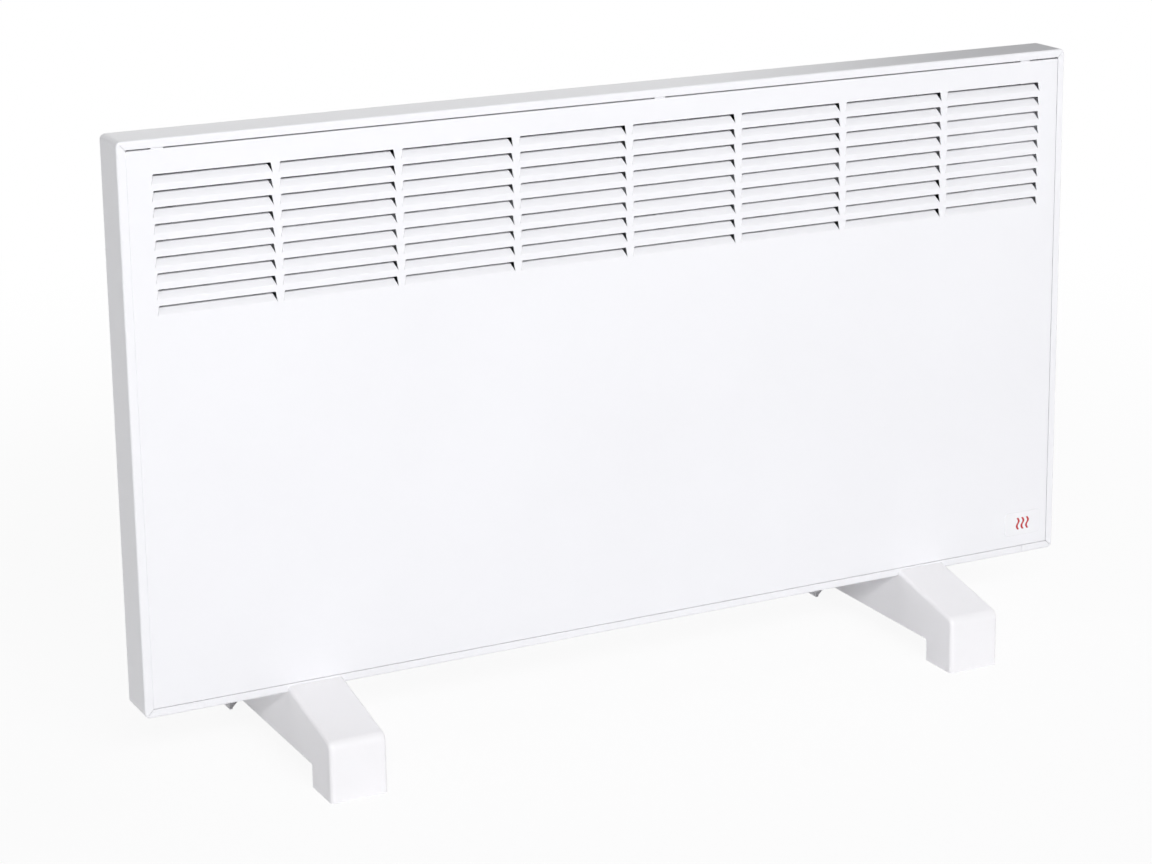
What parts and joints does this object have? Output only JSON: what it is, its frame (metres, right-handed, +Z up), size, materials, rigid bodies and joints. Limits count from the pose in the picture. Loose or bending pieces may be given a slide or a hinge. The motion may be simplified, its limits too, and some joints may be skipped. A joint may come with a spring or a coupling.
{
  "type": "panel convector heater",
  "caption": "Flat white panel convector heater on two arched feet, with a louvred front panel, a stepped rear cover, a side thermostat knob and a rocker switch.",
  "frame": {"origin": "on the floor under the middle of the feet, below the middle of the body's width and depth", "axes": "+Z up, the louvred front faces -Y, +X to the viewer's right, towards the wall with the knob"},
  "size_m": [0.75, 0.232, 0.455],
  "materials": {
    "casing_paint": "smooth satin white powder coat",
    "panel_paint": "smooth satin white powder coat",
    "badge": "glossy, bare",
    "spring_steel": "bright zinc",
    "cover_paint": "fine-textured white powder coat",
    "zinc_screws": "bright zinc",
    "rivets": "dull",
    "galvanised": "spangled zinc",
    "sheath_steel": "heat-darkened",
    "fin_aluminium": "as extruded",
    "ceramic": "unglazed cream",
    "cutout_body": "moulded",
    "box_plastic": "moulded white",
    "thermostat_shell": "moulded",
    "plated_nut": "nickel plated",
    "spindle_steel": "turned",
    "knob_plastic": "satin white",
    "switch_plastic": "satin black",
    "terminals": "plated",
    "rocker_plastic": "satin black",
    "lamp_lens": "translucent red",
    "copper": "copper",
    "nylon": "moulded",
    "gland_rubber": "moulded white",
    "live_insulation": "silicone, brown",
    "neutral_insulation": "silicone, blue",
    "earth_insulation": "silicone, green",
    "foot_plastic": "fine-grained white"
  },
  "bodies": {
    "heater": {"casing_surround": "casing_paint", "front_panel": "panel_paint", "badge_plate": "badge", "panel_clips": "spring_steel", "rear_cover": "cover_paint", "rear_cover_screws": "zinc_screws", "blind_rivets": "rivets", "air_baffle": "galvanised", "element_tube": "sheath_steel", "element_fins": "fin_aluminium", "element_insulators": "ceramic", "element_bracket_left": "galvanised", "element_bracket_right": "galvanised", "thermal_cutout": "cutout_body", "control_box": "box_plastic", "control_box_screws": "zinc_screws", "thermostat_body": "thermostat_shell", "thermostat_nut": "plated_nut", "switch_housing": "switch_plastic", "switch_terminals": "terminals", "indicator_lamp": "lamp_lens", "sensing_bulb": "copper", "capillary_tube": "copper", "bulb_clips": "nylon", "cable_gland": "gland_rubber", "gland_nut": "nylon", "terminal_block": "nylon", "terminal_screws": "zinc_screws", "terminal_fixing_screw": "zinc_screws", "earth_stud": "zinc_screws", "earth_nut": "zinc_screws", "wire_live": "live_insulation", "wire_neutral": "neutral_insulation", "wire_earth": "earth_insulation", "foot_left": "foot_plastic", "foot_right": "foot_plastic", "foot_screws": "zinc_screws", "foot_nuts": "zinc_screws"},
    "dial": {"thermostat_knob": "knob_plastic", "thermostat_spindle": "spindle_steel"},
    "rocker": {"switch_rocker": "rocker_plastic"}
  },
  "joints": [
    {"name": "thermostat_turn", "type": "hinge", "parent": "heater", "child": "dial", "pos_m": [0.36, 0.0175, 0.3973], "axis": [-1, 0, 0], "range_deg": [0, 270]},
    {"name": "power_rocker", "type": "hinge", "parent": "heater", "child": "rocker", "pos_m": [0.3601, 0.0137, 0.3701], "axis": [0, 0, 1], "range_deg": [0, 18]}
  ]
}
